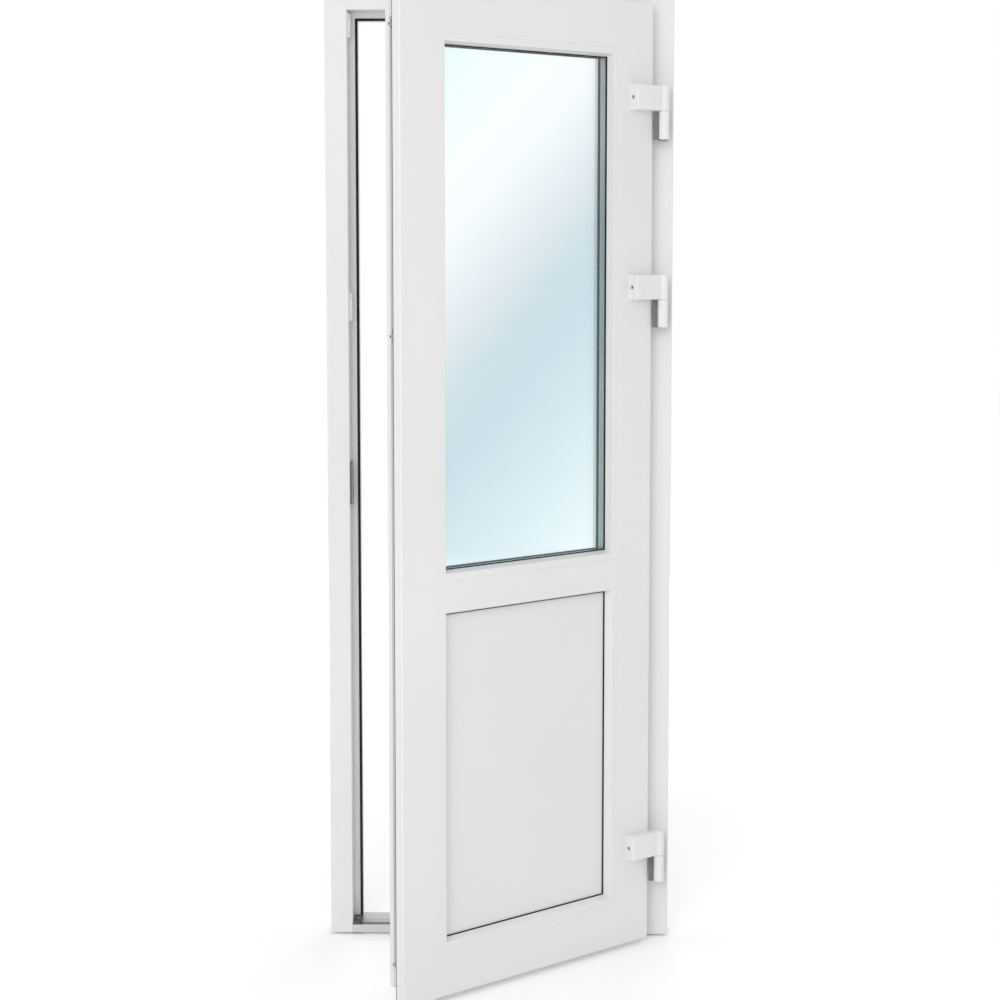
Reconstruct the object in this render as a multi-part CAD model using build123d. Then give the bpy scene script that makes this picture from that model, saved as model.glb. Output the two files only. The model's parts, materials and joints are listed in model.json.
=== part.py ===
# Balcony door: a white plastic frame with a low threshold and an inward leaf on three hinges.
# Units are millimetres, +Z up, room side towards -Y, origin under the middle of the threshold.
import os

from build123d import *

os.makedirs("parts", exist_ok=True)

# Outer frame
FRAME_W = 750.0
FRAME_H = 2080.0
FRAME_DEPTH = 70.0
FRAME_FACE = 48.0
STOP_W = 20.0
STOP_T = 18.0
FRAME_ROUND = 2.0

# Threshold
SILL_FRONT_H = 17.0
SILL_REAR_H = 23.5
SILL_LIP_T = 3.0
SILL_GROOVE_W = 19.0
SILL_GROOVE_D = 6.0
SILL_STRIP_SUNK = 1.0
SILL_RISE_FROM = 42.0
SILL_RISE_RUN = 7.0
SILL_CAP_H = 24.0

# Leaf
OPEN_ANGLE = 41.0
LEAF_OVERLAP = 11.0
LEAF_OVERLAP_HEAD = 6.0
LEAF_FLOOR_GAP = 8.0
LEAF_T = 74.0
FLANGE_T = 23.5
FLANGE_W = 22.0
PROFILE_W = 111.5
LEAF_ROUND = 2.5
MID_RAIL_Z = 836.0
MID_RAIL_W = 79.0
REBATE_LEG = 20.0

# Glazing
BEAD_FACE = 14.0
BEAD_SLOPE = 5.3
BEAD_T = 18.0
BEAD_SET_BACK = 0.4
GASKET_T = 3.0
GASKET_FROM = 6.0
GASKET_SHOW = 2.0
UNIT_T = 24.0
PANE_T = 4.0
PANE_EDGE = 4.0
SPACER_FROM = 9.0
SPACER_TO = 19.5

# Seals between frame and leaf
MOVE_GAP = 5.0
LEAF_SEAL_T = 3.0
LEAF_SEAL_FROM = 1.5
LEAF_SEAL_W = 6.5
STOP_SEAL_T = 4.0
STOP_SEAL_W = 5.5
STOP_SEAL_EDGE = 1.0

# Lock edge
LOCK_LINE = 53.0
PLATE_W = 16.0
PLATE_T = 2.5
PLATE_END = 45.0
CAM_D = 10.0
CAM_OUT = 6.0
TOP_CAM_DROP = 18.0
UPPER_CAM_DROP = 14.0
LOW_CAM_UP = 81.0
KEEP_OUT = 5.8
KEEP_BASE_T = 3.0
KEEP_W = 22.0
KEEP_LUG_END = 6.0
CORNER_KEEP_DROP = 6.0
CORNER_KEEP_H = 52.0
UPPER_KEEP_Z = 1364.0
UPPER_KEEP_H = 62.0
STRIKER_Z = 962.0
STRIKER_H = 95.0
STRIKER_MOUTH_W = 14.0
STRIKER_MOUTH_H = 22.0

# Hinges
UPPER_HINGE_DROP = 268.0
MIDDLE_HINGE_DROP = 399.0
LOWER_HINGE_Z = 196.0
HINGE_IN = 23.0
HINGE_OFF = 20.0
KNUCKLE_D = 22.0
KNUCKLE_ROUND = 3.0
LEAF_PART_H = 53.0
FRAME_PART_H = 59.0
WING_L = 68.0
WING_T = 25.0
WING_ROUND = 4.0
SOCKET_D = 8.5
SOCKET_DEEP = 10.0
SOCKET_OFF = 10.0
WEB_W = 18.0
BASE_W = 20.0
BASE_T = 4.0
PIN_D = 10.0
PIN_FIT = 0.02
PIN_RUN = 0.05
PIN_END = 8.0
SPLIT_GAP = 0.8

# Derived positions, leaf closed
FRONT = -FRAME_DEPTH / 2
BACK = FRAME_DEPTH / 2
HALF_W = FRAME_W / 2
STOP_Y = BACK - STOP_T
FLANGE_BACK = FRONT - LEAF_SEAL_T - MOVE_GAP
LEAF_FRONT = FLANGE_BACK - FLANGE_T
LEAF_X = HALF_W - FRAME_FACE + LEAF_OVERLAP
LEAF_Z0 = LEAF_FLOOR_GAP
LEAF_Z1 = FRAME_H - FRAME_FACE + LEAF_OVERLAP_HEAD
FLOOR_IN = PROFILE_W - BEAD_FACE
UNIT_FROM = BEAD_T + GASKET_T
LEG_FROM = UNIT_FROM + UNIT_T + GASKET_T
AXIS_X = HALF_W - HINGE_IN
AXIS_Y = LEAF_FRONT - HINGE_OFF
HINGE_AXIS = Axis((AXIS_X, AXIS_Y, 0), (0, 0, 1))


def slab(x0, x1, y0, y1, z0, z1):
    """Box between two corners."""
    centre = Pos((x0 + x1) / 2, (y0 + y1) / 2, (z0 + z1) / 2)
    return centre * Box(x1 - x0, y1 - y0, z1 - z0)


def leaf_slab(rect, inset, d0, d1):
    """Box on the leaf: a rectangle in x and z drawn in by inset, between two depths."""
    x0, x1, z0, z1 = rect
    return slab(x0 + inset, x1 - inset, LEAF_FRONT + d0, LEAF_FRONT + d1, z0 + inset, z1 - inset)


def leaf_ring(rect, outer, inner, d0, d1):
    """Rectangular ring on the leaf between two insets and two depths."""
    return leaf_slab(rect, outer, d0, d1) - leaf_slab(rect, inner, d0 - 1, d1 + 1)


def round_front(shape, radius):
    """Round the edges of the face turned to the room."""
    return fillet(shape.faces().sort_by(Axis.Y)[0].edges(), radius)


def mitred(ring, rect, reach):
    """Cut a rectangular ring into its left, right, bottom and top members at the corners."""
    x0, x1, z0, z1 = rect
    corners = {
        "left": [(x0, z0), (x0 + reach, z0 + reach), (x0 + reach, z1 - reach), (x0, z1)],
        "right": [(x1, z0), (x1, z1), (x1 - reach, z1 - reach), (x1 - reach, z0 + reach)],
        "bottom": [(x0, z0), (x1, z0), (x1 - reach, z0 + reach), (x0 + reach, z0 + reach)],
        "top": [(x0, z1), (x0 + reach, z1 - reach), (x1 - reach, z1 - reach), (x1, z1)],
    }
    members = {}
    for side, points in corners.items():
        outline = Plane.XZ * make_face(Polyline(points, close=True))
        members[side] = ring & extrude(outline, amount=400, both=True)
    return members


def save(name, shape):
    shape.label = name
    export_step(shape, f"parts/{name}.step")


def save_on_leaf(name, shape):
    """Pieces of the leaf are drawn closed and saved as the leaf stands open."""
    save(name, shape.rotate(HINGE_AXIS, OPEN_ANGLE))


# Frame: jambs and head of one profile, mitred at the top corners
tall = FRAME_H * 2
frame_rect = (-HALF_W, HALF_W, FRAME_H - tall, FRAME_H)
inner_x = HALF_W - FRAME_FACE
inner_z = FRAME_H - FRAME_FACE
stop_x = inner_x - STOP_W
stop_z = inner_z - STOP_W
frame_solid = round_front(slab(-HALF_W, HALF_W, FRONT, BACK, -100, FRAME_H), FRAME_ROUND)
frame_solid -= slab(-inner_x, inner_x, FRONT - 1, STOP_Y, -101, inner_z)
frame_solid -= slab(-stop_x, stop_x, STOP_Y - 1, BACK + 1, -101, stop_z)
frame_solid -= slab(-HALF_W - 1, HALF_W + 1, FRONT - 1, BACK + 1, -101, 0)
frame_members = mitred(frame_solid, frame_rect, FRAME_FACE + STOP_W + 10)
save("lock_jamb", frame_members["left"])
save("hinge_jamb", frame_members["right"])
save("frame_head", frame_members["top"])

# Seal on the stop, running up both jambs and across the head
seal_out = STOP_W - STOP_SEAL_EDGE
seal_in = seal_out - STOP_SEAL_W
seal_y = STOP_Y - STOP_SEAL_T
frame_seal = slab(-inner_x + seal_in, inner_x - seal_in, seal_y, STOP_Y, SILL_CAP_H, inner_z - seal_in)
frame_seal -= slab(-inner_x + seal_out, inner_x - seal_out, seal_y - 1, STOP_Y + 1, 0, inner_z - seal_out)
save("frame_seal", frame_seal)

# Threshold between the stops, its front lip reaching the jambs, with a dark strip let into its top
# and a cap behind the lip in each rebate corner
rise = FRONT + SILL_RISE_FROM
groove = FRONT + SILL_LIP_T
sill_points = [
    (FRONT, 0),
    (BACK, 0),
    (BACK, SILL_REAR_H),
    (rise + SILL_RISE_RUN, SILL_REAR_H),
    (rise, SILL_FRONT_H),
    (groove + SILL_GROOVE_W, SILL_FRONT_H),
    (groove + SILL_GROOVE_W, SILL_FRONT_H - SILL_GROOVE_D),
    (groove, SILL_FRONT_H - SILL_GROOVE_D),
    (groove, SILL_FRONT_H),
    (FRONT, SILL_FRONT_H),
]
sill_face = Plane.YZ * make_face(Polyline(sill_points, close=True))
sill_lip = slab(-inner_x, inner_x, FRONT, groove, 0, SILL_FRONT_H)
save("threshold", extrude(sill_face, amount=stop_x, both=True) + sill_lip)
strip_top = SILL_FRONT_H - SILL_STRIP_SUNK
strip = slab(-stop_x, stop_x, groove, groove + SILL_GROOVE_W, SILL_FRONT_H - SILL_GROOVE_D, strip_top)
save("threshold_strip", strip)
for side, sign in (("lock", -1), ("hinge", 1)):
    ends = sorted((sign * stop_x, sign * inner_x))
    cap = slab(ends[0], ends[1], groove, STOP_Y, 0, SILL_CAP_H)
    save(f"threshold_cap_{side}", cap)

# Keeps on the lock jamb
lock_y = LEAF_FRONT + LOCK_LINE
keep_x = -inner_x


def keep_plate(z0, z1, thickness):
    return slab(keep_x, keep_x + thickness, lock_y - KEEP_W / 2, lock_y + KEEP_W / 2, z0, z1)


corner_keep_z = inner_z - CORNER_KEEP_DROP - CORNER_KEEP_H
keeps = (("corner_keep", corner_keep_z, CORNER_KEEP_H), ("upper_keep", UPPER_KEEP_Z, UPPER_KEEP_H))
for name, low, high in keeps:
    lug_z = (low + KEEP_LUG_END, low + high - KEEP_LUG_END)
    lug = slab(keep_x, keep_x + KEEP_OUT, lock_y, lock_y + KEEP_W / 2, *lug_z)
    save(name, keep_plate(low, low + high, KEEP_BASE_T) + lug)
striker = keep_plate(STRIKER_Z, STRIKER_Z + STRIKER_H, KEEP_OUT)
mouth_y = (lock_y - STRIKER_MOUTH_W / 2, lock_y + STRIKER_MOUTH_W / 2)
for share in (1 / 3, 2 / 3):
    mid = STRIKER_Z + STRIKER_H * share
    mouth_z = (mid - STRIKER_MOUTH_H / 2, mid + STRIKER_MOUTH_H / 2)
    striker -= slab(keep_x + KEEP_BASE_T, keep_x + KEEP_OUT + 1, *mouth_y, *mouth_z)
save("latch_striker", striker)

# Leaf: four mitred members with a flange over the frame, and a mid rail
leaf_rect = (-LEAF_X, LEAF_X, LEAF_Z0, LEAF_Z1)
leaf_solid = round_front(leaf_slab(leaf_rect, 0, 0, FLANGE_T), LEAF_ROUND)
leaf_solid += leaf_slab(leaf_rect, FLANGE_W, FLANGE_T, LEAF_T)
leaf_solid -= leaf_slab(leaf_rect, FLOOR_IN, -1, LEG_FROM)
leaf_solid -= leaf_slab(leaf_rect, FLOOR_IN + REBATE_LEG, LEG_FROM - 1, LEAF_T + 1)
plate_y = LEAF_FRONT + LOCK_LINE - PLATE_W / 2
plate_x = -LEAF_X + FLANGE_W
plate_z0 = LEAF_Z0 + FLANGE_W + PLATE_END
plate_z1 = LEAF_Z1 - FLANGE_W - PLATE_END
faceplate = slab(plate_x, plate_x + PLATE_T, plate_y, plate_y + PLATE_W, plate_z0, plate_z1)
leaf_members = mitred(leaf_solid, leaf_rect, PROFILE_W + REBATE_LEG)
save_on_leaf("leaf_lock_stile", leaf_members["left"] - faceplate)
save_on_leaf("leaf_hinge_stile", leaf_members["right"])
save_on_leaf("leaf_top_rail", leaf_members["top"])
save_on_leaf("leaf_bottom_rail", leaf_members["bottom"])
rail_x = LEAF_X - FLOOR_IN
core = MID_RAIL_W / 2 - BEAD_FACE
core_rect = (-rail_x, rail_x, MID_RAIL_Z - core, MID_RAIL_Z + core)
leg_x = rail_x - REBATE_LEG
leg_rect = (-leg_x, leg_x, MID_RAIL_Z - core - REBATE_LEG, MID_RAIL_Z + core + REBATE_LEG)
save_on_leaf("leaf_mid_rail", leaf_slab(core_rect, 0, 0, LEG_FROM) + leaf_slab(leg_rect, 0, LEG_FROM, LEAF_T))
save_on_leaf("leaf_seal", leaf_ring(
    leaf_rect, LEAF_SEAL_FROM, LEAF_SEAL_FROM + LEAF_SEAL_W, FLANGE_T, FLANGE_T + LEAF_SEAL_T))

# Openings of the leaf between the rebate floors
glass_rect = (-rail_x, rail_x, MID_RAIL_Z + core, LEAF_Z1 - FLOOR_IN)
panel_rect = (-rail_x, rail_x, LEAF_Z0 + FLOOR_IN, MID_RAIL_Z - core)


def bead_ring(rect):
    """Glazing beads of one opening, sloping from the face down to the infill."""
    x0, x1, z0, z1 = rect
    mouths = []
    for depth, inset in ((BEAD_SET_BACK, BEAD_FACE), (BEAD_T, BEAD_FACE + BEAD_SLOPE)):
        plane = Plane((0, LEAF_FRONT + depth, (z0 + z1) / 2), x_dir=(1, 0, 0), z_dir=(0, -1, 0))
        mouths.append(plane * Rectangle(x1 - x0 - 2 * inset, z1 - z0 - 2 * inset))
    return leaf_slab(rect, 0, BEAD_SET_BACK, BEAD_T) - loft(mouths)


bead_sides = {"left": "lock", "right": "hinge", "top": "top", "bottom": "bottom"}
for kind, rect in (("glass", glass_rect), ("panel", panel_rect)):
    beads = mitred(bead_ring(rect), rect, BEAD_FACE + BEAD_SLOPE + 5)
    for side, word in bead_sides.items():
        save_on_leaf(f"{kind}_bead_{word}", beads[side])
    inner_edge = BEAD_FACE + BEAD_SLOPE + GASKET_SHOW
    save_on_leaf(f"{kind}_seal_inner", leaf_ring(rect, GASKET_FROM, inner_edge, BEAD_T, UNIT_FROM))
    outer_edge = REBATE_LEG + GASKET_SHOW
    save_on_leaf(f"{kind}_seal_outer", leaf_ring(rect, GASKET_FROM, outer_edge, UNIT_FROM + UNIT_T, LEG_FROM))

# Sealed glass unit above, sandwich panel below
unit_back = UNIT_FROM + UNIT_T
save_on_leaf("inner_glass_pane", leaf_slab(glass_rect, PANE_EDGE, UNIT_FROM, UNIT_FROM + PANE_T))
save_on_leaf("outer_glass_pane", leaf_slab(glass_rect, PANE_EDGE, unit_back - PANE_T, unit_back))
save_on_leaf("glass_spacer", leaf_ring(
    glass_rect, SPACER_FROM, SPACER_TO, UNIT_FROM + PANE_T, unit_back - PANE_T))
save_on_leaf("lower_panel", leaf_slab(panel_rect, PANE_EDGE, UNIT_FROM, unit_back))

# Faceplate flush in the lock edge, with its round locking cams
save_on_leaf("lock_faceplate", faceplate)
cam_heights = (corner_keep_z - TOP_CAM_DROP, UPPER_KEEP_Z - UPPER_CAM_DROP, LOW_CAM_UP)
cams = []
for high in cam_heights:
    seat = Plane((plate_x, LEAF_FRONT + LOCK_LINE, high), x_dir=(0, 1, 0), z_dir=(-1, 0, 0))
    cams.append(extrude(seat * Circle(CAM_D / 2), amount=CAM_OUT))
save_on_leaf("locking_cams", Compound(children=cams))


def upright(x, y, radius, z0, z1):
    """Vertical cylinder between two heights."""
    return Pos(x, y, (z0 + z1) / 2) * Cylinder(radius, z1 - z0)


def knuckle(z0, z1, end):
    """Hinge barrel on the axis, rounded at its lower or its upper end."""
    barrel = upright(AXIS_X, AXIS_Y, KNUCKLE_D / 2, z0, z1)
    return fillet(barrel.edges().filter_by(GeomType.CIRCLE).sort_by(Axis.Z)[end], KNUCKLE_ROUND)


# Hinges: the part on the leaf turns on a pin that stands in the part on the frame's bracket
upper_split = FRAME_H - UPPER_HINGE_DROP
splits = {"upper": upper_split, "middle": upper_split - MIDDLE_HINGE_DROP, "lower": LOWER_HINGE_Z}
for name, split in splits.items():
    low = split - FRAME_PART_H
    bore = upright(AXIS_X, AXIS_Y, PIN_D / 2 + PIN_FIT, low + PIN_END, split + 1)
    save(f"{name}_hinge_frame_part", knuckle(low, split, 0) - bore)
    web_x = AXIS_X - WEB_W / 2
    bracket = slab(web_x, web_x + WEB_W, AXIS_Y, FRONT, low, split)
    bracket += slab(web_x, web_x + BASE_W, FRONT - BASE_T, FRONT, low, split)
    save(f"{name}_hinge_bracket", bracket - knuckle(low, split, 0))
    foot = split + SPLIT_GAP
    head = foot + LEAF_PART_H
    wing_x = LEAF_X - WING_L
    wing = round_front(slab(wing_x, AXIS_X, LEAF_FRONT - WING_T, LEAF_FRONT, foot, head), WING_ROUND)
    wing -= slab(LEAF_X, AXIS_X + 1, LEAF_FRONT - HINGE_OFF / 2, LEAF_FRONT + 1, foot - 1, head + 1)
    socket_seat = Plane((wing_x, LEAF_FRONT - SOCKET_OFF, (foot + head) / 2), z_dir=(1, 0, 0))
    wing -= extrude(socket_seat * Circle(SOCKET_D / 2), amount=SOCKET_DEEP)
    leaf_part = wing + knuckle(foot, head, -1)
    leaf_part -= upright(AXIS_X, AXIS_Y, PIN_D / 2 + PIN_RUN, foot - 1, head - PIN_END)
    save_on_leaf(f"{name}_hinge_leaf_part", leaf_part)
    pin_top = head - PIN_END - SPLIT_GAP
    save(f"{name}_hinge_pin", upright(AXIS_X, AXIS_Y, PIN_D / 2, low + PIN_END, pin_top))
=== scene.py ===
# Looks of a white balcony door: rounded profiles, glazing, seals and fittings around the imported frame.
# Sections and sizes are in millimetres with the leaf shut; meshes are in metres, as the leaf stands.
import json
import math

import bmesh
import bpy
from mathutils import Matrix, Vector
from mathutils.geometry import tessellate_polygon


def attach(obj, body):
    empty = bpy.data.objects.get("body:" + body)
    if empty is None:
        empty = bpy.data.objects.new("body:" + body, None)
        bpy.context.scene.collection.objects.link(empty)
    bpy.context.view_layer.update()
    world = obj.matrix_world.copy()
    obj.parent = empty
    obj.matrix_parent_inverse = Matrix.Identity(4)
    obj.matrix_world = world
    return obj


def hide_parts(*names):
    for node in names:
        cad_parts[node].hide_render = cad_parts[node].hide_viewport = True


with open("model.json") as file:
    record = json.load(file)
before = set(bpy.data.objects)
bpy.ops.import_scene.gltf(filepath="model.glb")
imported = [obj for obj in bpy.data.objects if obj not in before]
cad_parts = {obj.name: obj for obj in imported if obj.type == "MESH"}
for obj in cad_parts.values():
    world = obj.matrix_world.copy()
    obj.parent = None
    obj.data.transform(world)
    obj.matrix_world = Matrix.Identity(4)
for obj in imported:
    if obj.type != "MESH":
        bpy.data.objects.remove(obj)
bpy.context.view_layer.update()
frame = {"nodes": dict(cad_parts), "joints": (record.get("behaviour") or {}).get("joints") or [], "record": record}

MM = 0.001
NODES = frame["nodes"]
RECORD = frame["record"]
LEAF_NODES = set(RECORD["behaviour"]["bodies"]["leaf"])

# The leaf's turn from shut to how it stands
SWING = frame["joints"][0]
PIVOT = Vector(SWING["pos_m"])
OPEN = math.radians(-SWING["range_deg"][0])
LEAF_TURN = Matrix.Translation(PIVOT) @ Matrix.Rotation(OPEN, 4, "Z") @ Matrix.Translation(-PIVOT)

# Roundings and mesh steps
FACE_ROUND = 2.5
EDGE_ROUND = 1.2
HAIR_ROUND = 0.35
SEAL_ROUND = 1.2
ARC_STEPS = 5
BEVEL_STEPS = 3
BEVEL_PROFILE = 0.5
TURN_STEPS = 36
SHARP_ANGLE = math.radians(32)
WELD_GAP = 0.001

# Profiles and glazing
LEG_SLOPE = 14.0
LEG_SUNK = 0.5
BEAD_FACE = 14.0
BEAD_ROUND = 1.6
GASKET_SHOW = 2.0
LEAF_SEAL_W = 6.5
STOP_SEAL_EDGE = 1.0
SPACER_W = 10.5
SPACER_SEAM_W = 1.6
SPACER_SEAM_D = 0.8

# Threshold, where the level top of a rib lies between two shares of its width
STRIP_SUNK = 1.0
STRIP_RIBS = 5
RIB_H = 1.0
RIB_TOP_FROM = 0.25
RIB_TOP_TO = 0.75
TREAD_END = 7.0
RISE_END = 14.0
TREAD_GROOVES = 4
TREAD_GROOVE_W = 1.6
TREAD_GROOVE_D = 0.5

# Keeps and striker, whose mouths lie a share of half its height above and below its middle
KEEP_BASE_T = 3.0
KEEP_LUG_END = 1.0
KEEP_ROUND = 0.96
STRIKER_MOUTH_W = 14.0
STRIKER_MOUTH_H = 22.0
STRIKER_MOUTH_AT = 1 / 3
STRIKER_ROUND = 4.0

# Screws: a dome in shares of radius and height, and a lobed recess in shares of the radius
SCREW_R = 3.6
SCREW_PROUD = 0.8
SCREW_FLUSH = 0.1
SCREW_SUNK = 0.4
SCREW_END = 9.0
SCREW_DOME = ((1.0, 0.2), (0.92, 0.6), (0.7, 0.95))
RECESS_TOP = 0.5
RECESS_FOOT = 0.44
RECESS_DEEP = 0.3
RECESS_LOBE = 0.12
LOBES = 6

# Faceplate and cams, the cams in shares of radius and height
PLATE_SCREW_STEP = 260.0
PLATE_ROUND = 3.0
UPPER_CAM_DROP = 14.0
CAM_SLOT_W = 7.0
CAM_SLOT_H = 34.0
CAM_SLOT_ROUND = 3.15
CAM_STEM = 0.65
CAM_HEAD = ((CAM_STEM, 0.15), (1.0, 0.2), (1.0, 0.85), (0.85, 1.0))
CAM_SOCKET = ((0.45, 1.0), (0.45, 0.5))
SOCKET_LOBE = 0.06

# Hinges: grey cheeks, measured from the pivot, that stand for the bracket's side and paint the shade of the
# crevice beside each lower knuckle, and socket screws in shares of the radius at heights
HINGE_ROUND = 1.0
SHADE_CHEEK_REACH = 22.0
SHADE_CHEEK_IN = 9.0
SHADE_CHEEK_FROM = 1.0
SHADE_CHEEK_T = 6.0
SOCKET_OFF = 10.0
SOCKET_SCREW_R = 3.9
SOCKET_SCREW_IN = 5.0
SOCKET_SCREW_RIM = ((1.0, -1.0), (1.0, 0.6), (0.85, 1.0))
SOCKET_SCREW_KEY = ((0.55, 1.0), (0.5, -0.5))

# Noises: their detail, and the stretch of their values over which a material changes
NOISE_DETAIL = 3.0
NOISE_LOW = 0.3
NOISE_HIGH = 0.7

# Glass: the slope of its painted reflection across the pane, and the reflection's colours from the foot of the
# slant to the top
GLASS_IOR = 1.5
GLASS_RIPPLE = 3.0
GLASS_BUMP = (0.02, 0.0005)
GLASS_SLANT = 0.4
GLASS_PAINTED_REFLECTION = (
    (0.04, (0.915, 0.993, 1.0)),
    (0.23, (0.83, 0.917, 0.949)),
    (0.41, (0.758, 0.855, 0.895)),
    (0.49, (0.781, 0.863, 0.895)),
    (0.58, (0.867, 0.911, 0.93)),
    (0.70, (0.955, 0.985, 0.993)),
    (0.79, (0.975, 1.0, 1.0)),
    (0.95, (0.92, 0.993, 0.995)),
)

# Other surfaces: two tones with blotches and grain in features per metre, and bump as strength and metres
SURFACES = {
    "white_pvc": dict(
        low=(0.775, 0.775, 0.772), high=(0.80, 0.80, 0.80), blotch=2.5,
        rough=(0.30, 0.40), grain=700, bump=(0.04, 0.0002)),
    "panel_skin": dict(
        low=(0.765, 0.765, 0.765), high=(0.79, 0.79, 0.79), blotch=2.0,
        rough=(0.34, 0.44), grain=500, bump=(0.04, 0.0002)),
    "black_seal": dict(
        low=(0.008, 0.008, 0.009), high=(0.018, 0.018, 0.02), blotch=60,
        rough=(0.55, 0.75), grain=900, bump=(0.2, 0.0003), gloss=0.2),
    "spacer_aluminium": dict(
        low=(0.47, 0.53, 0.52), high=(0.60, 0.65, 0.64), blotch=8,
        rough=(0.30, 0.42), grain=300, bump=(0.1, 0.0002), metallic=0.8),
    "sill_aluminium": dict(
        low=(0.63, 0.63, 0.63), high=(0.73, 0.73, 0.73), blotch=30,
        rough=(0.30, 0.45), grain=400, bump=(0.12, 0.0002), metallic=0.7, stretch=(0.05, 1, 1)),
    "dark_strip": dict(
        low=(0.16, 0.16, 0.165), high=(0.24, 0.24, 0.245), blotch=50,
        rough=(0.55, 0.7), grain=700, bump=(0.25, 0.0004)),
    "grey_cap": dict(
        low=(0.06, 0.06, 0.065), high=(0.11, 0.11, 0.115), blotch=60,
        rough=(0.45, 0.6), grain=700, bump=(0.15, 0.0003)),
    "white_keep": dict(
        low=(0.90, 0.90, 0.90), high=(0.95, 0.95, 0.95), blotch=20,
        rough=(0.30, 0.42), grain=600, bump=(0.05, 0.0002)),
    "zinc_striker": dict(
        low=(0.22, 0.22, 0.225), high=(0.36, 0.36, 0.37), blotch=90,
        rough=(0.32, 0.5), grain=500, bump=(0.2, 0.0003), metallic=0.85),
    "bright_steel": dict(
        low=(0.46, 0.46, 0.47), high=(0.58, 0.58, 0.59), blotch=40,
        rough=(0.25, 0.4), grain=500, bump=(0.1, 0.0002), metallic=0.9, stretch=(1, 1, 0.05)),
    "hinge_bracket": dict(
        low=(0.15, 0.15, 0.152), high=(0.20, 0.20, 0.202), blotch=50,
        rough=(0.5, 0.65), grain=600, bump=(0.15, 0.0003), gloss=0.2),
    "hinge_white": dict(
        low=(0.79, 0.79, 0.79), high=(0.82, 0.82, 0.82), blotch=12,
        rough=(0.28, 0.38), grain=800, bump=(0.04, 0.0002)),
}

# Studio, in metres and watts; the floor's far glow makes it as bright as the backdrop
FLOOR_SIZE = 40.0
FLOOR_DROP = 0.005
FLOOR_TONE = 0.95
FLOOR_GLOW_NEAR = 0.13
FLOOR_GLOW_FAR = 0.2875
FLOOR_NEAR = 1.0
FLOOR_FAR = 3.5
SURROUND_LOW = 0.55
SURROUND_HIGH = 0.85
WHITE = (1, 1, 1, 1)
LAMP_AIM = Vector((0, 0, 1.0))
LAMP_SIZE = 3.0
FRONT_LAMP_AT = Vector((-0.8, -4.8, 2.4))
FRONT_LAMP_POWER = 86
BACK_LAMP_AT = Vector((0.8, 4.9, 2.4))
BACK_LAMP_POWER = 60

# Camera, in pixels of the square picture, metres and degrees
PICTURE = 1000.0
FOCAL = 2077.4
AXIS_ROW = 446.7
SENSOR = 36.0
CAMERA_AT = (0.0843, -4.5498, 1.5262)
LOOK_DOWN = 5.5
LOOK_LEFT = 1.043


def shut_box(node):
    """Lowest and highest corner of a node in millimetres, with the leaf shut."""
    back = LEAF_TURN.inverted() if node in LEAF_NODES else Matrix.Identity(4)
    points = [back @ v.co / MM for v in NODES[node].data.vertices]
    low = Vector([min(p[i] for p in points) for i in range(3)])
    high = Vector([max(p[i] for p in points) for i in range(3)])
    return low, high


# Sizes read from the frame
jamb_low, jamb_high = shut_box("lock_jamb")
FRONT = jamb_low.y
FRAME_DEPTH = jamb_high.y - FRONT
HALF_W = -jamb_low.x
FRAME_H = jamb_high.z
FRAME_RECT = (-HALF_W, HALF_W, 0.0, FRAME_H)
STOP_IN = jamb_high.x - jamb_low.x
keep_low = shut_box("upper_keep")[0]
FRAME_FACE = keep_low.x - jamb_low.x
stop_seal_low, stop_seal_high = shut_box("frame_seal")
STOP_DEEP = stop_seal_high.y - FRONT
stile_low, stile_high = shut_box("leaf_lock_stile")
LEAF_FRONT = stile_low.y
LEAF_T = stile_high.y - LEAF_FRONT
LEAF_RECT = (stile_low.x, -stile_low.x, stile_low.z, stile_high.z)
leaf_seal_low = shut_box("leaf_seal")[0]
FLANGE_T = leaf_seal_low.y - LEAF_FRONT
plate_low, plate_high = shut_box("lock_faceplate")
FLANGE_W = plate_low.x - stile_low.x
LOCK_Y = (plate_low.y + plate_high.y) / 2
GROOVE_FROM = plate_low.y - LEAF_FRONT
GROOVE_TO = plate_high.y - LEAF_FRONT
GROOVE_IN = plate_high.x - stile_low.x
bead_low, bead_high = shut_box("glass_bead_lock")
FLOOR_IN = bead_low.x - stile_low.x
LEG_FROM = shut_box("glass_seal_outer")[1].y - LEAF_FRONT
LEG_IN = stile_high.x - stile_low.x


# Outlines and meshes

def rounded(corners):
    """Outline through corners given as (u, d, radius), each turned by an arc of its radius."""
    outline = []
    for i, (u, d, radius) in enumerate(corners):
        here = Vector((u, d))
        if radius == 0:
            outline.append(here)
            continue
        back = (Vector(corners[i - 1][:2]) - here).normalized()
        ahead = (Vector(corners[(i + 1) % len(corners)][:2]) - here).normalized()
        half = back.angle(ahead) / 2
        centre = here + (back + ahead).normalized() * radius / math.sin(half)
        start = (here + back * radius / math.tan(half) - centre).normalized()
        finish = (here + ahead * radius / math.tan(half) - centre).normalized()
        for k in range(ARC_STEPS + 1):
            outline.append(centre + start.slerp(finish, k / ARC_STEPS) * radius)
    return outline


def rounded_box(u0, u1, v0, v1, radius):
    """Rectangle with rounded corners, turning left."""
    return rounded([(u0, v0, radius), (u1, v0, radius), (u1, v1, radius), (u0, v1, radius)])


def corner_outlines(outline, rect, front, floor=None):
    """The outline at the mitred corners of a rectangle, from lower left round by the top.

    With a floor the two lower ends are cut level at that height."""
    x0, x1, z0, z1 = rect
    low = [z0 + p.x if floor is None else floor for p in outline]
    high = [z1 - p.x for p in outline]
    return [
        [Vector((x0 + p.x, front + p.y, z)) for p, z in zip(outline, low)],
        [Vector((x0 + p.x, front + p.y, z)) for p, z in zip(outline, high)],
        [Vector((x1 - p.x, front + p.y, z)) for p, z in zip(outline, high)],
        [Vector((x1 - p.x, front + p.y, z)) for p, z in zip(outline, low)],
    ]


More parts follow.
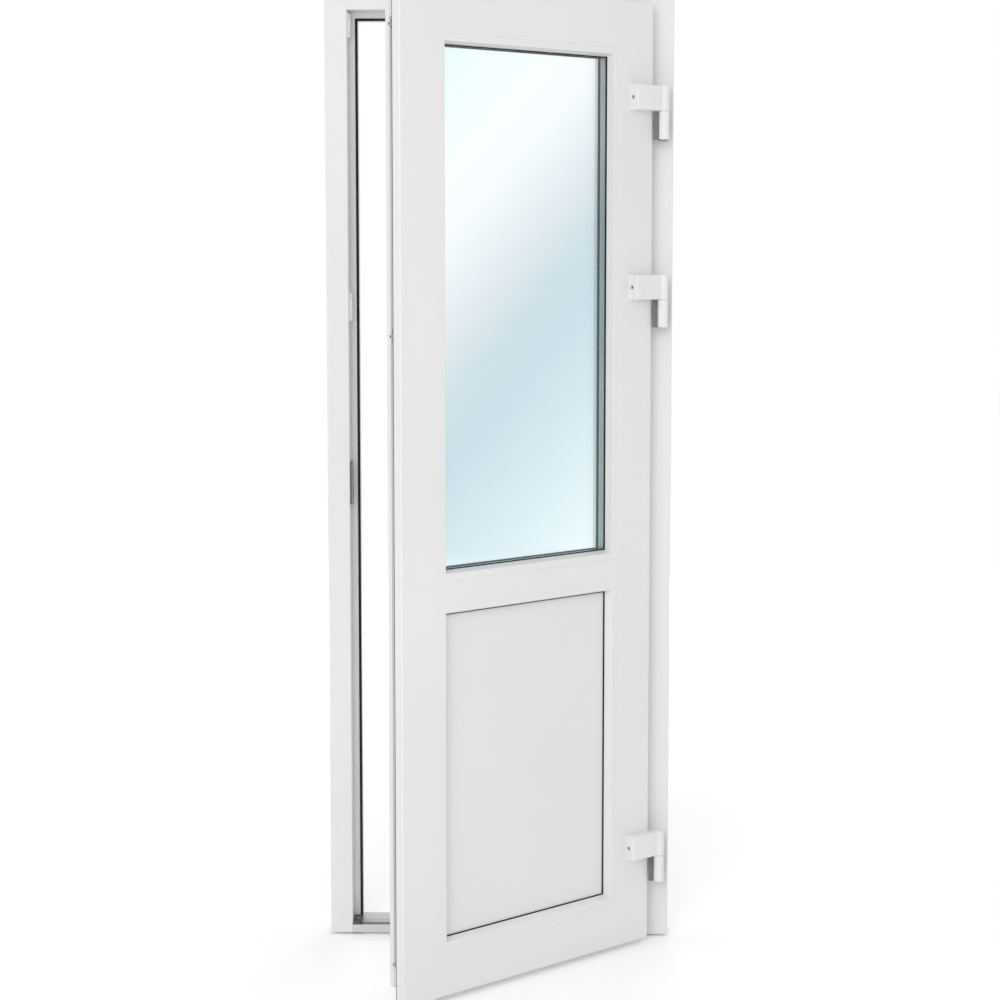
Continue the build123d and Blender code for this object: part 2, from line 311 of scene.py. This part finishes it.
def join_rows(bm, a, b):
    """Band of faces between two closed rows of points."""
    for i in range(len(a)):
        j = (i + 1) % len(a)
        bm.faces.new((a[i], a[j], b[j], b[i]))


def to_mesh(name, bm):
    """Finished mesh, smooth but for its sharp edges."""
    bmesh.ops.recalc_face_normals(bm, faces=bm.faces)
    mesh = bpy.data.meshes.new(name)
    bm.to_mesh(mesh)
    bm.free()
    mesh.shade_smooth()
    mesh.set_sharp_from_angle(angle=SHARP_ANGLE)
    return mesh


def loft(name, outlines, ring=False):
    """Closed mesh through a row of like outlines, capped at both ends or joined into a ring."""
    bm = bmesh.new()
    rows = [[bm.verts.new(p * MM) for p in outline] for outline in outlines]
    for a, b in zip(rows, rows[1:]):
        join_rows(bm, a, b)
    if ring:
        join_rows(bm, rows[-1], rows[0])
    else:
        bm.faces.new(rows[0])
        bm.faces.new(rows[-1])
    return to_mesh(name, bm)


def run_along(name, outline, x0, x1):
    """Straight run of an outline in y and z between two places along x."""
    return loft(name, [[Vector((x, p.x, p.y)) for p in outline] for x in (x0, x1)])


def blocks(name, boxes, radius):
    """One mesh of boxes given by their lowest and highest corners, every edge rounded."""
    bm = bmesh.new()
    for low, high in boxes:
        size = Matrix.Diagonal((high - low) * MM).to_4x4()
        place_at = Matrix.Translation((low + high) / 2 * MM)
        made = bmesh.ops.create_cube(bm, size=1, matrix=place_at @ size)
        edges = {e for v in made["verts"] for e in v.link_edges}
        bmesh.ops.bevel(
            bm, geom=list(edges), offset=radius * MM, segments=BEVEL_STEPS, profile=BEVEL_PROFILE,
            affect="EDGES")
    return to_mesh(name, bm)


def drawn_left(loop, amount):
    """The loop moved to its left, which shrinks a left-turning loop and widens a right-turning one."""
    moved = []
    for i, here in enumerate(loop):
        back = (here - loop[i - 1]).normalized()
        ahead = (loop[(i + 1) % len(loop)] - here).normalized()
        side = Vector((-back.y - ahead.y, back.x + ahead.x)).normalized()
        moved.append(here + side * amount / side.dot(Vector((-ahead.y, ahead.x))))
    return moved


def pierced(name, seat, outline, holes, thick, edge):
    """Plate on a seat, of a left-turning outline with holes, its front and back edges broken."""
    bm = bmesh.new()
    full = [outline] + [list(reversed(hole)) for hole in holes]
    drawn = [drawn_left(loop, edge) for loop in full]
    levels = ((0, drawn), (edge, full), (thick - edge, full), (thick, drawn))
    rows = []
    for level, loops in levels:
        rows.append([[bm.verts.new(seat @ Vector((*p, level)) * MM) for p in loop] for loop in loops])
    for low, high in zip(rows, rows[1:]):
        for a, b in zip(low, high):
            join_rows(bm, a, b)
    triangles = tessellate_polygon([[Vector((*p, 0)) for p in loop] for loop in drawn])
    for row in (rows[0], rows[-1]):
        corners = [v for loop in row for v in loop]
        for triangle in triangles:
            bm.faces.new([corners[i] for i in triangle])
    return to_mesh(name, bm)


def edge_seat(x, y, z, out):
    """Seat for a plate whose outline runs along y and z, facing along x one way or the other."""
    return Matrix(((0, 0, out, x), (1, 0, 0, y), (0, 1, 0, z), (0, 0, 0, 1)))


def facing(at, out):
    """Seat at a place, with its z axis along the given way out."""
    return Matrix.Translation(at) @ Vector(out).to_track_quat("Z", "Y").to_matrix().to_4x4()


def turned(name, seats, rings):
    """One mesh of like turned shapes, one on each seat, through rings of (radius, height, lobe)."""
    bm = bmesh.new()
    for seat in seats:
        rows = []
        for radius, height, lobe in rings:
            row = []
            for k in range(TURN_STEPS):
                turn = 2 * math.pi * k / TURN_STEPS
                reach = radius * (1 + lobe * math.cos(LOBES * turn))
                spot = Vector((reach * math.cos(turn), reach * math.sin(turn), height))
                row.append(bm.verts.new(seat @ spot * MM))
            rows.append(row)
        for a, b in zip(rows, rows[1:]):
            join_rows(bm, a, b)
        bm.faces.new(rows[0])
        bm.faces.new(rows[-1])
    return to_mesh(name, bm)


def even_normals(piece):
    """Shade the large faces of a piece flat, so that only its roundings curve."""
    even = piece.modifiers.new("even_normals", "WEIGHTED_NORMAL")
    even.keep_sharp = True


def place(mesh, body, slot, *nodes):
    """Put a mesh on a body with its material, standing for the named nodes."""
    if body == "leaf":
        mesh.transform(LEAF_TURN)
    mesh.materials.append(MATERIALS[slot])
    piece = bpy.data.objects.new(mesh.name, mesh)
    bpy.context.scene.collection.objects.link(piece)
    even_normals(piece)
    if nodes:
        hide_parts(*nodes)
    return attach(piece, body)


def soften(node, radius):
    """Round the sharp edges of a node."""
    weld = NODES[node].modifiers.new("weld", "WELD")
    weld.merge_threshold = WELD_GAP * MM
    bevel = NODES[node].modifiers.new("edge_round", "BEVEL")
    bevel.width = radius * MM
    bevel.segments = BEVEL_STEPS
    bevel.limit_method = "ANGLE"
    bevel.angle_limit = SHARP_ANGLE
    even_normals(NODES[node])


def screws(name, body, spots, out, proud):
    """Steel screw heads on a body, from below the surface up over the dome and into the recess."""
    rings = [(SCREW_R, -SCREW_SUNK, 0)]
    rings += [(SCREW_R * wide, proud * high, 0) for wide, high in SCREW_DOME]
    rings += [
        (SCREW_R * RECESS_TOP, proud, RECESS_LOBE),
        (SCREW_R * RECESS_FOOT, -RECESS_DEEP, RECESS_LOBE),
    ]
    place(turned(name, [facing(spot, out) for spot in spots], rings), body, "bright_steel")


# Materials

def start_material(name):
    """New material with its node tree and its shader."""
    material = bpy.data.materials.new(name)
    material.use_nodes = True
    tree = material.node_tree
    return material, tree, tree.nodes["Principled BSDF"]


def add_noise(tree, scale, stretch=(1, 1, 1)):
    """Noise in the object's own space, in features per metre, drawn out along an axis by stretch."""
    spot = tree.nodes.new("ShaderNodeTexCoord")
    mapping = tree.nodes.new("ShaderNodeMapping")
    mapping.inputs["Scale"].default_value = stretch
    tree.links.new(spot.outputs["Object"], mapping.inputs["Vector"])
    noise = tree.nodes.new("ShaderNodeTexNoise")
    noise.inputs["Scale"].default_value = scale
    noise.inputs["Detail"].default_value = NOISE_DETAIL
    tree.links.new(mapping.outputs["Vector"], noise.inputs["Vector"])
    return noise.outputs["Fac"]


def colour_through(tree, value, stops):
    """Colour that runs through stops of (place, colour) along a value."""
    ramp = tree.nodes.new("ShaderNodeValToRGB")
    elements = ramp.color_ramp.elements
    for at, _ in stops[1:-1]:
        elements.new(at)
    for element, (at, colour) in zip(elements, stops):
        element.position = at
        element.color = (*colour, 1)
    tree.links.new(value, ramp.inputs["Fac"])
    return ramp.outputs["Color"]


def spread_between(tree, value, ends, results, interpolation="LINEAR"):
    """Number that runs between two results while a value runs between two ends."""
    span = tree.nodes.new("ShaderNodeMapRange")
    span.interpolation_type = interpolation
    span.inputs["From Min"].default_value = ends[0]
    span.inputs["From Max"].default_value = ends[1]
    span.inputs["To Min"].default_value = results[0]
    span.inputs["To Max"].default_value = results[1]
    tree.links.new(value, span.inputs["Value"])
    return span.outputs["Result"]


def add_bump(tree, value, strength, depth):
    """Normal that stands in for a fine relief of the given depth."""
    bump = tree.nodes.new("ShaderNodeBump")
    bump.inputs["Strength"].default_value = strength
    bump.inputs["Distance"].default_value = depth
    tree.links.new(value, bump.inputs["Height"])
    return bump.outputs["Normal"]


def textured(name, low, high, blotch, rough, grain, bump, metallic=0.0, stretch=(1, 1, 1), gloss=0.5):
    """Surface whose colour wanders between two tones and whose grain moves its gloss and relief."""
    material, tree, shader = start_material(name)
    cloud = add_noise(tree, blotch, stretch)
    fine = add_noise(tree, grain, stretch)
    colour = colour_through(tree, cloud, ((NOISE_LOW, low), (NOISE_HIGH, high)))
    roughness = spread_between(tree, fine, (NOISE_LOW, NOISE_HIGH), rough)
    tree.links.new(colour, shader.inputs["Base Color"])
    tree.links.new(roughness, shader.inputs["Roughness"])
    tree.links.new(add_bump(tree, fine, *bump), shader.inputs["Normal"])
    shader.inputs["Metallic"].default_value = metallic
    shader.inputs["Specular IOR Level"].default_value = gloss
    return material


def clear_glass():
    """Float glass whose colour is a painted reflection: a slanting gradient, pale at its upper lock corner and
    bluer across the middle.
    """
    material, tree, shader = start_material("clear_glass")
    spot = tree.nodes.new("ShaderNodeTexCoord")
    parts = tree.nodes.new("ShaderNodeSeparateXYZ")
    tree.links.new(spot.outputs["Generated"], parts.inputs["Vector"])
    slant = tree.nodes.new("ShaderNodeMath")
    slant.operation = "MULTIPLY_ADD"
    tree.links.new(parts.outputs["X"], slant.inputs[0])
    slant.inputs[1].default_value = -GLASS_SLANT
    tree.links.new(parts.outputs["Z"], slant.inputs[2])
    height = spread_between(tree, slant.outputs["Value"], (-GLASS_SLANT, 1), (0, 1))
    # The base colour is a painted reflection of the studio, slanting across the pane
    tree.links.new(colour_through(tree, height, GLASS_PAINTED_REFLECTION), shader.inputs["Base Color"])
    ripple = add_noise(tree, GLASS_RIPPLE)
    tree.links.new(add_bump(tree, ripple, *GLASS_BUMP), shader.inputs["Normal"])
    shader.inputs["Roughness"].default_value = 0
    shader.inputs["IOR"].default_value = GLASS_IOR
    shader.inputs["Transmission Weight"].default_value = 1
    return material


MATERIALS = {name: textured(name, **looks) for name, looks in SURFACES.items()}
MATERIALS["clear_glass"] = clear_glass()

for row in RECORD["subparts"]:
    node = NODES[row["node"]]
    node.data.materials.clear()
    node.data.materials.append(MATERIALS[row["material_slot"]])


# Frame profile: face, rebate and stop, run round the jambs and the head
frame_section = rounded([
    (0, FRAME_DEPTH, EDGE_ROUND),
    (0, 0, FACE_ROUND),
    (FRAME_FACE, 0, EDGE_ROUND),
    (FRAME_FACE, STOP_DEEP, 0),
    (STOP_IN, STOP_DEEP, EDGE_ROUND),
    (STOP_IN, FRAME_DEPTH, EDGE_ROUND),
])
frame_ends = corner_outlines(frame_section, FRAME_RECT, FRONT, 0.0)
for i, node in enumerate(("lock_jamb", "frame_head", "hinge_jamb")):
    place(loft(f"{node}_profile", frame_ends[i:i + 2]), "frame", "white_pvc", node)

# Seal on the stop
seal_from = stop_seal_low.x + HALF_W
seal_to = STOP_IN - STOP_SEAL_EDGE
stop_seal = rounded([
    (seal_from, STOP_DEEP, 0),
    (seal_from, stop_seal_low.y - FRONT, SEAL_ROUND),
    (seal_to, stop_seal_low.y - FRONT, SEAL_ROUND),
    (seal_to, STOP_DEEP, 0),
])
stop_seal_ends = corner_outlines(stop_seal, FRAME_RECT, FRONT, stop_seal_low.z)
place(loft("frame_seal_lip", stop_seal_ends), "frame", "black_seal", "frame_seal")


def grooves(y0, y1, z):
    """Corners of fine grooves spread over a level stretch of the threshold."""
    corners = []
    step = (y1 - y0) / (TREAD_GROOVES + 1)
    for k in range(TREAD_GROOVES):
        near = y0 + step * (k + 1) - TREAD_GROOVE_W / 2
        far = near + TREAD_GROOVE_W
        foot = z - TREAD_GROOVE_D
        corners += [(near, z, 0), (near, foot, 0), (far, foot, 0), (far, z, 0)]
    return corners


# Threshold: front lip, tread with fine grooves, rise to the back
sill_low, sill_high = shut_box("threshold")
strip_low, strip_high = shut_box("threshold_strip")
tread_z = strip_high.z + STRIP_SUNK
lip = rounded([
    (FRONT, 0, 0),
    (FRONT, tread_z, EDGE_ROUND),
    (strip_low.y, tread_z, HAIR_ROUND),
    (strip_low.y, 0, 0),
])
place(run_along("threshold_lip", lip, sill_low.x, sill_high.x), "frame", "sill_aluminium")
tread_corners = [
    (strip_low.y, 0, 0),
    (strip_low.y, strip_low.z, 0),
    (strip_high.y, strip_low.z, 0),
    (strip_high.y, tread_z, HAIR_ROUND),
    *grooves(strip_high.y, TREAD_END, tread_z),
    (TREAD_END, tread_z, EDGE_ROUND),
    (RISE_END, sill_high.z, EDGE_ROUND),
    *grooves(RISE_END, sill_high.y, sill_high.z),
    (sill_high.y, sill_high.z, EDGE_ROUND),
    (sill_high.y, 0, 0),
]
tread = run_along("threshold_tread", rounded(tread_corners), strip_low.x, strip_high.x)
place(tread, "frame", "sill_aluminium", "threshold")

# Ribbed rubber strip let into the tread
strip_corners = [(strip_low.y, strip_low.z, 0)]
rib_step = (strip_high.y - strip_low.y) / STRIP_RIBS
for k in range(STRIP_RIBS):
    near = strip_low.y + rib_step * k
    strip_corners += [
        (near, strip_high.z - RIB_H, 0),
        (near + rib_step * RIB_TOP_FROM, strip_high.z, HAIR_ROUND),
        (near + rib_step * RIB_TOP_TO, strip_high.z, HAIR_ROUND),
    ]
strip_corners += [
    (strip_high.y, strip_high.z - RIB_H, 0),
    (strip_high.y, strip_low.z, 0),
]
strip = run_along("threshold_strip_ribs", rounded(strip_corners), strip_low.x, strip_high.x)
place(strip, "frame", "dark_strip", "threshold_strip")

# Caps in the rebate corners, each held by a screw
for side in ("lock", "hinge"):
    node = f"threshold_cap_{side}"
    low, high = shut_box(node)
    place(blocks(f"{node}_body", [(low, high)], EDGE_ROUND), "frame", "grey_cap", node)
    top = (low + high) / 2
    top.z = high.z
    screws(f"{node}_screw", "frame", [top], (0, 0, 1), SCREW_PROUD)

# Keeps on the lock jamb: a base plate with a lug along its back half
for node in ("corner_keep", "upper_keep"):
    low, high = shut_box(node)
    base = (low, Vector((low.x + KEEP_BASE_T, high.y, high.z)))
    lug_low = Vector((low.x, LOCK_Y, low.z + KEEP_LUG_END))
    lug = (lug_low, Vector((high.x, high.y, high.z - KEEP_LUG_END)))
    place(blocks(f"{node}_body", [base, lug], KEEP_ROUND), "frame", "white_keep", node)
    screw_y = (low.y + LOCK_Y) / 2
    spots = [Vector((base[1].x, screw_y, z)) for z in (low.z + SCREW_END, high.z - SCREW_END)]
    screws(f"{node}_screws", "frame", spots, (1, 0, 0), SCREW_PROUD)

# Striker: a plate with two mouths over a base
low, high = shut_box("latch_striker")
strike_base = (low, Vector((low.x + KEEP_BASE_T, high.y, high.z)))
place(blocks("latch_striker_base", [strike_base], EDGE_ROUND), "frame", "zinc_striker", "latch_striker")
middle = (low + high) / 2
strike_seat = edge_seat(low.x + KEEP_BASE_T, middle.y, middle.z, 1)
half_w = (high.y - low.y) / 2
half_h = (high.z - low.z) / 2
mouth_w = STRIKER_MOUTH_W / 2
mouth_h = STRIKER_MOUTH_H / 2
mouths = []
for share in (-STRIKER_MOUTH_AT, STRIKER_MOUTH_AT):
    mouth_z = half_h * share
    mouths.append(rounded_box(-mouth_w, mouth_w, mouth_z - mouth_h, mouth_z + mouth_h, EDGE_ROUND))
strike_outline = rounded_box(-half_w, half_w, -half_h, half_h, STRIKER_ROUND)
strike_t = high.x - low.x - KEEP_BASE_T
striker = pierced("latch_striker_plate", strike_seat, strike_outline, mouths, strike_t, HAIR_ROUND)
place(striker, "frame", "zinc_striker")
spots = [Vector((high.x, middle.y, z)) for z in (low.z + SCREW_END, middle.z, high.z - SCREW_END)]
screws("latch_striker_screws", "frame", spots, (1, 0, 0), SCREW_FLUSH)

# Leaf profile: flange over the frame, hardware groove in the edge, rebate for the infill
leaf_section = rounded([
    (0, 0, FACE_ROUND),
    (FLOOR_IN, 0, HAIR_ROUND),
    (FLOOR_IN, LEG_FROM, 0),
    (LEG_IN, LEG_FROM, EDGE_ROUND),
    (LEG_IN - LEG_SLOPE, LEAF_T, EDGE_ROUND),
    (FLANGE_W, LEAF_T, EDGE_ROUND),
    (FLANGE_W, GROOVE_TO, HAIR_ROUND),
    (GROOVE_IN, GROOVE_TO, 0),
    (GROOVE_IN, GROOVE_FROM, 0),
    (FLANGE_W, GROOVE_FROM, HAIR_ROUND),
    (FLANGE_W, FLANGE_T, 0),
    (0, FLANGE_T, EDGE_ROUND),
])
leaf_ends = corner_outlines(leaf_section, LEAF_RECT, LEAF_FRONT)
leaf_ends.append(leaf_ends[0])
for i, node in enumerate(("leaf_lock_stile", "leaf_top_rail", "leaf_hinge_stile", "leaf_bottom_rail")):
    place(loft(f"{node}_profile", leaf_ends[i:i + 2]), "leaf", "white_pvc", node)

# Mid rail: core between the openings, with sloping legs behind the infill
rail_low, rail_high = shut_box("leaf_mid_rail")
core_z0 = shut_box("panel_bead_top")[1].z
core_z1 = shut_box("glass_bead_bottom")[0].z
leg_y = LEAF_FRONT + LEG_FROM
core_section = rounded_box(LEAF_FRONT, leg_y, core_z0, core_z1, HAIR_ROUND)
core = run_along("leaf_mid_rail_core", core_section, rail_low.x, rail_high.x)
place(core, "leaf", "white_pvc", "leaf_mid_rail")
leg_section = rounded([
    (leg_y, rail_low.z, EDGE_ROUND),
    (LEAF_FRONT + LEAF_T, rail_low.z + LEG_SLOPE, EDGE_ROUND),
    (LEAF_FRONT + LEAF_T, rail_high.z - LEG_SLOPE, EDGE_ROUND),
    (leg_y, rail_high.z, EDGE_ROUND),
])


def leg_end(side):
    """End of the mid rail's legs, cut to follow the slope of the stiles and sunk a little into them."""
    end = []
    for p in leg_section:
        reach = -stile_high.x + LEG_SLOPE * (p.x - leg_y) / (LEAF_T - LEG_FROM) + LEG_SUNK
        end.append(Vector((side * reach, p.x, p.y)))
    return end


place(loft("leaf_mid_rail_legs", [leg_end(-1), leg_end(1)]), "leaf", "white_pvc")


def leaf_ring(name, node, slot, rect, corners):
    """Ring round a rectangle of the leaf, from the corners of its section, standing for a node."""
    ring = loft(name, corner_outlines(rounded(corners), rect, LEAF_FRONT), ring=True)
    return place(ring, "leaf", slot, node)


def seal_ring(node, rect, inset, reach):
    """Rubber seal round a rectangle of the leaf, rounded along its free edges."""
    low, high = shut_box(node)
    d0 = low.y - LEAF_FRONT
    d1 = high.y - LEAF_FRONT
    return leaf_ring(f"{node}_lip", node, "black_seal", rect, [
        (inset, d0, 0),
        (inset + reach, d0, SEAL_ROUND),
        (inset + reach, d1, SEAL_ROUND),
        (inset, d1, 0),
    ])


# Seal behind the flange
seal_ring("leaf_seal", LEAF_RECT, leaf_seal_low.x - stile_low.x, LEAF_SEAL_W)

# Glazing beads and glazing seals of both openings
bead_from = bead_low.y - LEAF_FRONT
bead_t = bead_high.y - LEAF_FRONT
bead_in = bead_high.x - bead_low.x
bead_section = rounded([
    (0, bead_from, HAIR_ROUND),
    (BEAD_FACE, bead_from, BEAD_ROUND),
    (bead_in, bead_t, HAIR_ROUND),
    (0, bead_t, 0),
])
rects = {}
for kind in ("glass", "panel"):
    low = shut_box(f"{kind}_bead_bottom")[0]
    high = shut_box(f"{kind}_bead_top")[1]
    rects[kind] = (low.x, high.x, low.z, high.z)
    bead_ends = corner_outlines(bead_section, rects[kind], LEAF_FRONT)
    bead_ends.append(bead_ends[0])
    for i, side in enumerate(("lock", "top", "hinge", "bottom")):
        node = f"{kind}_bead_{side}"
        place(loft(f"{node}_profile", bead_ends[i:i + 2]), "leaf", "white_pvc", node)
    for side, inner in (("inner", bead_in), ("outer", LEG_IN - FLOOR_IN)):
        node = f"{kind}_seal_{side}"
        inset = shut_box(node)[0].x - low.x
        seal_ring(node, rects[kind], inset, inner + GASKET_SHOW - inset)

# Spacer between the panes, with a seam along the side that shows
low, high = shut_box("glass_spacer")
spacer_out = low.x - rects["glass"][0]
spacer_in = spacer_out + SPACER_W
seam_in = spacer_in - SPACER_SEAM_D
d0 = low.y - LEAF_FRONT
d1 = high.y - LEAF_FRONT
seam_from = (d0 + d1 - SPACER_SEAM_W) / 2
seam_to = seam_from + SPACER_SEAM_W
leaf_ring("glass_spacer_bar", "glass_spacer", "spacer_aluminium", rects["glass"], [
    (spacer_out, d0, 0),
    (spacer_in, d0, EDGE_ROUND),
    (spacer_in, seam_from, HAIR_ROUND),
    (seam_in, seam_from, 0),
    (seam_in, seam_to, 0),
    (spacer_in, seam_to, HAIR_ROUND),
    (spacer_in, d1, EDGE_ROUND),
    (spacer_out, d1, 0),
])

# Glass lets the light through to what stands behind it
for node in ("inner_glass_pane", "outer_glass_pane"):
    NODES[node].visible_shadow = False

# Locking cams: turned heads on stems that stand in slots of the faceplate
cam_low, cam_high = shut_box("locking_cams")
cam_out = cam_high.x - cam_low.x
cam_r = (cam_high.y - cam_low.y) / 2
plate_t = plate_high.x - plate_low.x
cam_heights = (cam_low.z + cam_r, keep_low.z - UPPER_CAM_DROP, cam_high.z - cam_r)
cam_rings = [(cam_r * CAM_STEM, -plate_t, 0)]
cam_rings += [(cam_r * wide, cam_out * out, 0) for wide, out in CAM_HEAD]
cam_rings += [(cam_r * wide, cam_out * out, SOCKET_LOBE) for wide, out in CAM_SOCKET]
cam_seats = [facing((plate_low.x, LOCK_Y, z), (-1, 0, 0)) for z in cam_heights]
place(turned("locking_cam_heads", cam_seats, cam_rings), "leaf", "bright_steel", "locking_cams")

# Faceplate along the lock edge, slotted for the cams and screwed to the stile
plate_half = (plate_high.y - plate_low.y) / 2
plate_seat = edge_seat(plate_high.x, LOCK_Y, 0, -1)
plate_outline = rounded_box(-plate_half, plate_half, plate_low.z, plate_high.z, PLATE_ROUND)
slot_half = CAM_SLOT_W / 2
slots = []
for z in cam_heights:
    reach = min(CAM_SLOT_H / 2, z - plate_low.z - CAM_SLOT_W, plate_high.z - z - CAM_SLOT_W)
    slots.append(rounded_box(-slot_half, slot_half, z - reach, z + reach, CAM_SLOT_ROUND))
faceplate = pierced("lock_faceplate_slotted", plate_seat, plate_outline, slots, plate_t, HAIR_ROUND)
place(faceplate, "leaf", "bright_steel", "lock_faceplate")
screw_count = math.floor((plate_high.z - plate_low.z) / PLATE_SCREW_STEP)
screw_from = (plate_low.z + plate_high.z - (screw_count - 1) * PLATE_SCREW_STEP) / 2
spots = [Vector((plate_low.x, LOCK_Y, screw_from + k * PLATE_SCREW_STEP)) for k in range(screw_count)]
screws("lock_faceplate_screws", "leaf", spots, (-1, 0, 0), SCREW_FLUSH)

# Hinges: softened edges, a grey cheek beside each lower knuckle that stands for the bracket's side and paints the
# shade of the crevice there, a screw deep in the end of each wing
shade_cheek_x = PIVOT.x / MM
shade_cheek_y = PIVOT.y / MM + SHADE_CHEEK_FROM
socket_rings = [(SOCKET_SCREW_R * wide, out, 0) for wide, out in SOCKET_SCREW_RIM]
socket_rings += [(SOCKET_SCREW_R * wide, out, SOCKET_LOBE) for wide, out in SOCKET_SCREW_KEY]
for name in ("upper", "middle", "lower"):
    for kind in ("frame_part", "bracket", "leaf_part"):
        soften(f"{name}_hinge_{kind}", HINGE_ROUND)
    low, high = shut_box(f"{name}_hinge_frame_part")
    # The cheek is a grey block in front of the frame, part bracket and part painted shade of the crevice between
    # leaf edge and knuckle
    shade_cheek_low = Vector((shade_cheek_x - SHADE_CHEEK_REACH, shade_cheek_y, low.z))
    shade_cheek_high = Vector((shade_cheek_x - SHADE_CHEEK_IN, shade_cheek_y + SHADE_CHEEK_T, high.z))
    place(blocks(f"{name}_hinge_shade_cheek", [(shade_cheek_low, shade_cheek_high)], HAIR_ROUND), "frame", "hinge_bracket")
    low, high = shut_box(f"{name}_hinge_leaf_part")
    spot = (low.x + SOCKET_SCREW_IN, LEAF_FRONT - SOCKET_OFF, (low.z + high.z) / 2)
    screw = turned(f"{name}_hinge_socket_screw", [facing(spot, (-1, 0, 0))], socket_rings)
    place(screw, "leaf", "grey_cap")


# Studio: pale floor, white surround and a broad lamp on each side of the door

def seen_rays(tree):
    """1 for rays that show the surround: from the camera, off metal or through glass."""
    ray = tree.nodes.new("ShaderNodeLightPath")
    total = ray.outputs["Is Camera Ray"]
    for kind in ("Is Glossy Ray", "Is Transmission Ray"):
        either = tree.nodes.new("ShaderNodeMath")
        either.operation = "MAXIMUM"
        tree.links.new(total, either.inputs[0])
        tree.links.new(ray.outputs[kind], either.inputs[1])
        total = either.outputs["Value"]
    return total


def add_floor():
    """Matt floor that takes shadows and glows a little where it is seen, more so away from the door."""
    bm = bmesh.new()
    bmesh.ops.create_grid(bm, x_segments=1, y_segments=1, size=FLOOR_SIZE / 2)
    mesh = bpy.data.meshes.new("studio_floor")
    bm.to_mesh(mesh)
    bm.free()
    floor = bpy.data.objects.new("studio_floor", mesh)
    floor.location.z = -FLOOR_DROP
    bpy.context.scene.collection.objects.link(floor)
    material, tree, shader = start_material("studio_floor")
    shader.inputs["Base Color"].default_value = (FLOOR_TONE, FLOOR_TONE, FLOOR_TONE, 1)
    shader.inputs["Roughness"].default_value = 1
    shader.inputs["Specular IOR Level"].default_value = 0
    shader.inputs["Emission Color"].default_value = WHITE
    spot = tree.nodes.new("ShaderNodeTexCoord")
    away = tree.nodes.new("ShaderNodeVectorMath")
    away.operation = "LENGTH"
    tree.links.new(spot.outputs["Object"], away.inputs[0])
    strength = spread_between(
        tree, away.outputs["Value"], (FLOOR_NEAR, FLOOR_FAR), (FLOOR_GLOW_NEAR, FLOOR_GLOW_FAR), "SMOOTHSTEP")
    glow = tree.nodes.new("ShaderNodeMath")
    glow.operation = "MULTIPLY"
    tree.links.new(seen_rays(tree), glow.inputs[0])
    tree.links.new(strength, glow.inputs[1])
    tree.links.new(glow.outputs["Value"], shader.inputs["Emission Strength"])
    mesh.materials.append(material)


def add_surround():
    """White backdrop where it is seen, and soft light that grows towards the zenith."""
    world = bpy.data.worlds.new("studio")
    bpy.context.scene.world = world
    world.use_nodes = True
    tree = world.node_tree
    light = tree.nodes["Background"]
    light.inputs["Color"].default_value = WHITE
    way = tree.nodes.new("ShaderNodeTexCoord")
    parts = tree.nodes.new("ShaderNodeSeparateXYZ")
    tree.links.new(way.outputs["Generated"], parts.inputs["Vector"])
    strength = spread_between(tree, parts.outputs["Z"], (0, 1), (SURROUND_LOW, SURROUND_HIGH))
    tree.links.new(strength, light.inputs["Strength"])
    white = tree.nodes.new("ShaderNodeBackground")
    white.inputs["Color"].default_value = WHITE
    white.inputs["Strength"].default_value = 1
    choice = tree.nodes.new("ShaderNodeMixShader")
    tree.links.new(seen_rays(tree), choice.inputs["Fac"])
    tree.links.new(light.outputs["Background"], choice.inputs[1])
    tree.links.new(white.outputs["Background"], choice.inputs[2])
    tree.links.new(choice.outputs["Shader"], tree.nodes["World Output"].inputs["Surface"])


def add_lamp(name, place_at, power):
    """Soft round lamp that lights surfaces but shows neither in the glass nor by itself."""
    lamp = bpy.data.lights.new(name, "AREA")
    lamp.shape = "DISK"
    lamp.size = LAMP_SIZE
    lamp.energy = power
    holder = bpy.data.objects.new(name, lamp)
    holder.visible_camera = False
    holder.visible_glossy = False
    holder.visible_transmission = False
    holder.location = place_at
    holder.rotation_euler = (LAMP_AIM - place_at).to_track_quat("-Z", "Y").to_euler()
    bpy.context.scene.collection.objects.link(holder)


def add_camera():
    """Camera that looks down a little, with a small shift as the photograph's framing needs."""
    lens = bpy.data.cameras.new("camera")
    lens.sensor_width = SENSOR
    lens.lens = FOCAL / PICTURE * SENSOR
    lens.shift_y = (AXIS_ROW - PICTURE / 2) / PICTURE
    camera = bpy.data.objects.new("camera", lens)
    camera.location = CAMERA_AT
    camera.rotation_euler = (math.radians(90 - LOOK_DOWN), 0, math.radians(LOOK_LEFT))
    bpy.context.scene.collection.objects.link(camera)
    bpy.context.scene.camera = camera


add_floor()
add_surround()
add_lamp("front_lamp", FRONT_LAMP_AT, FRONT_LAMP_POWER)
add_lamp("back_lamp", BACK_LAMP_AT, BACK_LAMP_POWER)
add_camera()
bpy.context.scene.view_settings.view_transform = "Standard"
